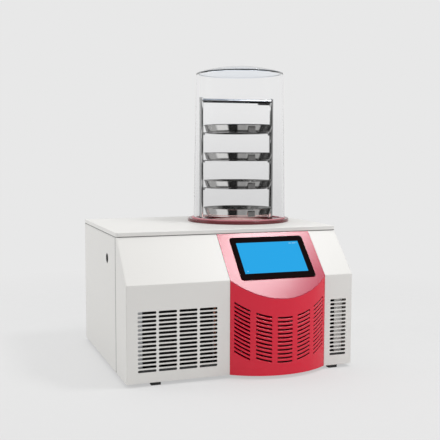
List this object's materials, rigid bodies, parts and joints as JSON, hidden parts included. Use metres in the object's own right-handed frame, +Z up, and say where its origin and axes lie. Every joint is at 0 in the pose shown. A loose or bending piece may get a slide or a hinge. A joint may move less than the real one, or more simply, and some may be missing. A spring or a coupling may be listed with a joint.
{
  "type": "benchtop freeze dryer",
  "caption": "Benchtop laboratory freeze dryer with a clear bell jar over a rack of round steel trays, a red bowed front panel, a sloping touch screen and vent grilles.",
  "frame": {"origin": "middle of the bottom of the whole machine, on the surface that its feet stand on", "axes": "+Z up, -Y out of the front with the screen, +X to the right seen from the front"},
  "size_m": [0.552, 0.5516, 0.7334],
  "materials": {
    "white_paint": "fine smooth powder coat, satin",
    "red_paint": "smooth crimson powder coat, semi-gloss",
    "black_steel": "black stoved enamel",
    "galvanised": "zinc coated sheet",
    "stainless": "spun and brushed stainless steel",
    "polished_steel": "polished stainless rod",
    "zinc": "bright zinc plate",
    "copper": "drawn copper tube",
    "brass": "machined brass",
    "clear_acrylic": "polished clear acrylic",
    "black_glass": "back-painted glass with a clear middle",
    "display": "lit blue display",
    "rubber": "black moulded rubber",
    "silicone": "white silicone rubber",
    "foam": "closed-cell black foam",
    "circuit_board": "green soldermask",
    "black_plastic": "moulded black plastic",
    "drain_hose": "milky plastic tube",
    "lever_plastic": "red vinyl grip"
  },
  "bodies": {
    "machine": {"base_pan": "black_steel", "bell_jar": "clear_acrylic", "board_standoffs": "brass", "capillary_pipe": "copper", "centre_panel": "red_paint", "cold_trap": "stainless", "collar_ring": "red_paint", "compressor": "black_steel", "compressor_bolts": "zinc", "compressor_grommets": "rubber", "condenser_bends": "copper", "condenser_core": "black_steel", "condenser_end_plates": "galvanised", "control_board": "circuit_board", "discharge_pipe": "copper", "display_panel": "display", "drain_pipe": "drain_hose", "drain_valve": "brass", "evaporator_coil": "copper", "fan_motor": "black_steel", "fan_shroud": "black_steel", "fan_strap": "galvanised", "feet": "rubber", "filter_drier": "copper", "foot_screws": "zinc", "front_baffle": "white_paint", "jar_gasket": "silicone", "left_fascia": "white_paint", "left_side_panel": "white_paint", "liquid_pipe": "copper", "power_inlet": "black_plastic", "power_supply": "black_steel", "power_switch": "black_plastic", "pump_outlet": "black_plastic", "rack_frame": "polished_steel", "rear_panel": "white_paint", "rear_screws": "zinc", "right_fascia": "white_paint", "right_side_panel": "white_paint", "screen_carrier": "galvanised", "screen_glass": "black_glass", "suction_pipe": "copper", "support_ring_1": "polished_steel", "support_ring_2": "polished_steel", "support_ring_3": "polished_steel", "support_ring_4": "polished_steel", "terminal_cover": "black_plastic", "top_plate": "white_paint", "trap_flange": "stainless", "trap_insulation": "foam", "tray_1": "stainless", "tray_2": "stainless", "tray_3": "stainless", "tray_4": "stainless", "vacuum_gauge": "stainless", "vacuum_pipe": "stainless"},
    "fan": {"fan_blades": "black_plastic"},
    "rocker": {"power_rocker": "black_plastic"},
    "lever": {"drain_lever": "lever_plastic"}
  },
  "joints": [
    {"name": "fan_spin", "type": "hinge", "parent": "machine", "child": "fan", "pos_m": [-0.1535, -0.16125, 0.128], "axis": [0, 1, 0], "continuous": true},
    {"name": "switch_tilt", "type": "hinge", "parent": "machine", "child": "rocker", "pos_m": [0.174, 0.23075, 0.07], "axis": [1, 0, 0], "range_deg": [0, 16]},
    {"name": "drain_turn", "type": "hinge", "parent": "machine", "child": "lever", "pos_m": [0.103, 0.24575, 0.078], "axis": [0, 0, -1], "range_deg": [0, 90]}
  ]
}
